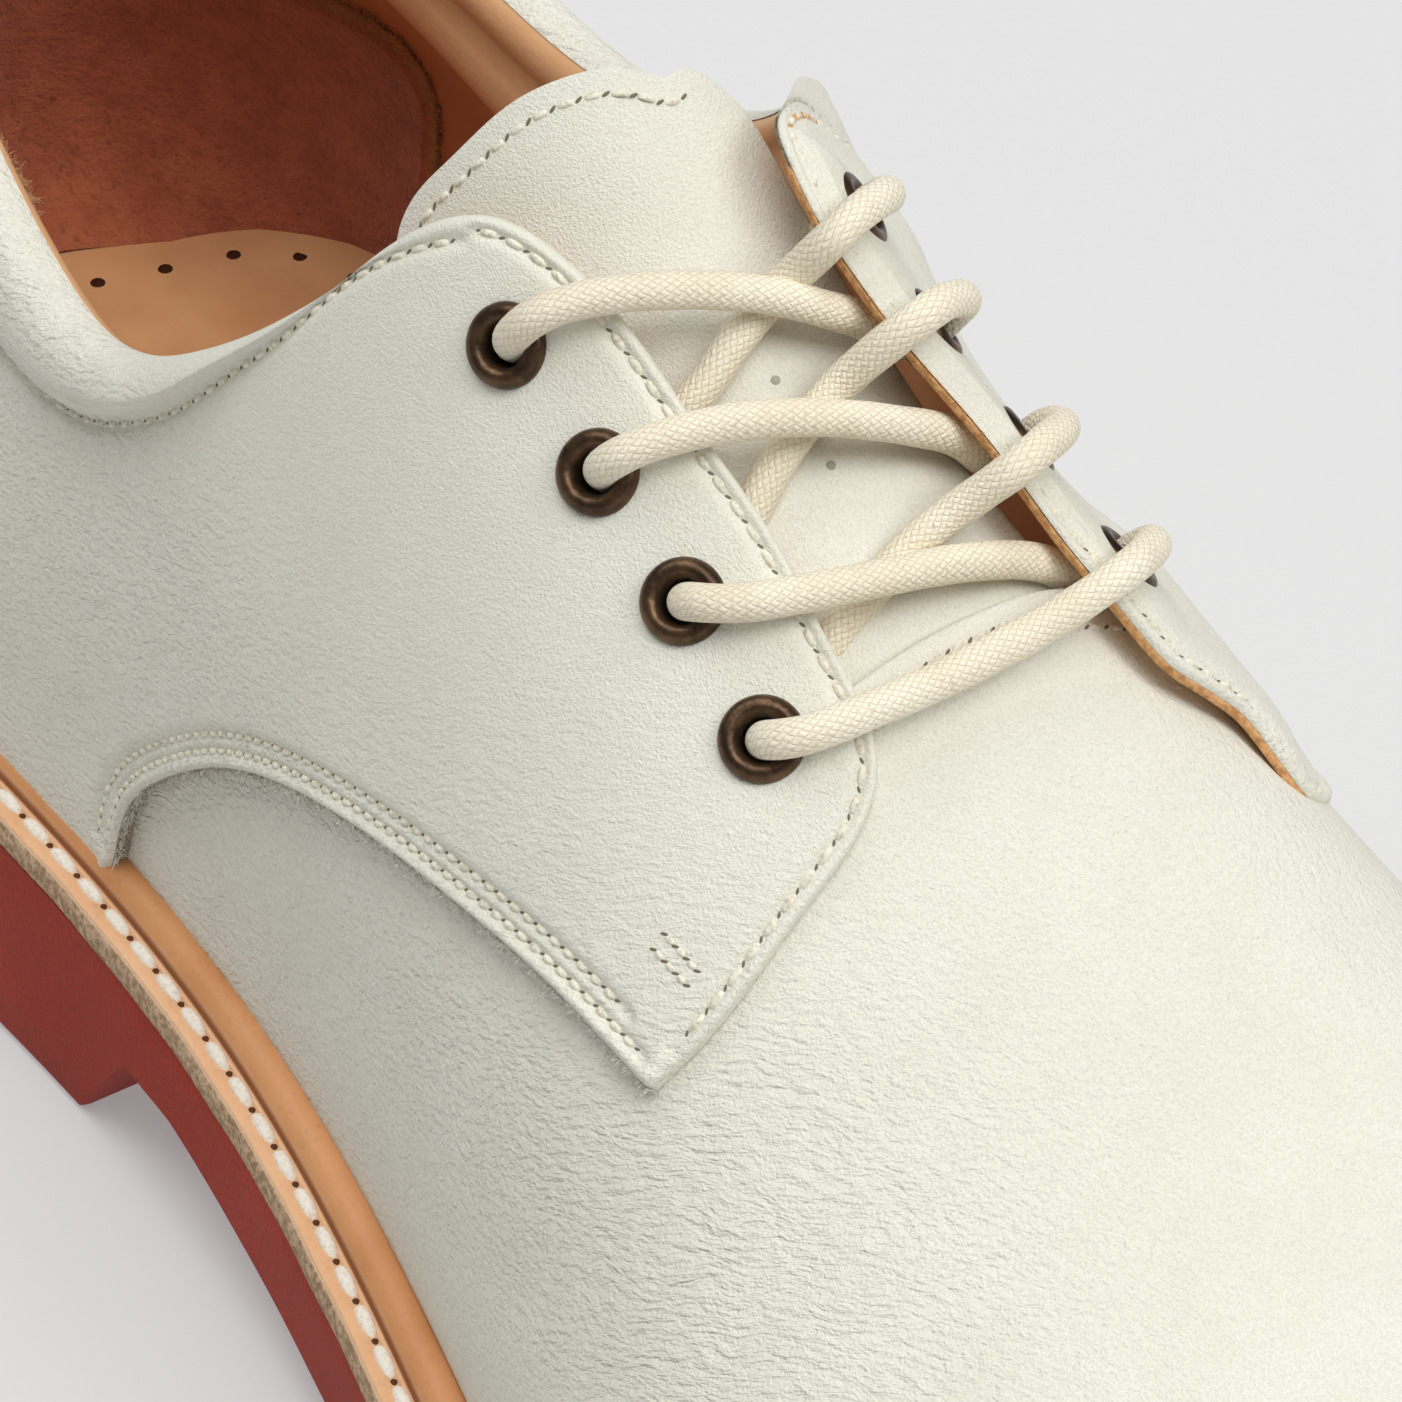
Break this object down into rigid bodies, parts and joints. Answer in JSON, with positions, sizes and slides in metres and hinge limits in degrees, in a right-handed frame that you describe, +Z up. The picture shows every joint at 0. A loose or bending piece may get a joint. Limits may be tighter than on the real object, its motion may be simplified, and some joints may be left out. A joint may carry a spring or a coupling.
{
  "type": "buck shoe",
  "caption": "Plain-toe lace-up derby shoe in pale nubuck, with open-laced quarters, a tongue, a beaded welt and a heeled rubber sole",
  "frame": {"origin": "middle of the box's base, on the ground under the shoe", "axes": "+X to the toe, +Z up, -Y to the wearer's outer side"},
  "size_m": [0.2994, 0.1051, 0.1088],
  "materials": {
    "nubuck": "napped, matte",
    "tan_leather": "smooth, satin",
    "brick_rubber": "fine matte texture",
    "antique_brass": "darkened, satin",
    "cotton": "round braid, matte"
  },
  "bodies": {
    "root": {"upper": "nubuck", "quarter_outer": "nubuck", "quarter_inner": "nubuck", "tongue": "nubuck", "welt": "tan_leather", "insole": "tan_leather", "outsole": "brick_rubber", "lace": "cotton", "eyelet_outer_1": "antique_brass", "eyelet_outer_2": "antique_brass", "eyelet_outer_3": "antique_brass", "eyelet_outer_4": "antique_brass", "eyelet_inner_1": "antique_brass", "eyelet_inner_2": "antique_brass", "eyelet_inner_3": "antique_brass", "eyelet_inner_4": "antique_brass"}
  },
  "joints": []
}
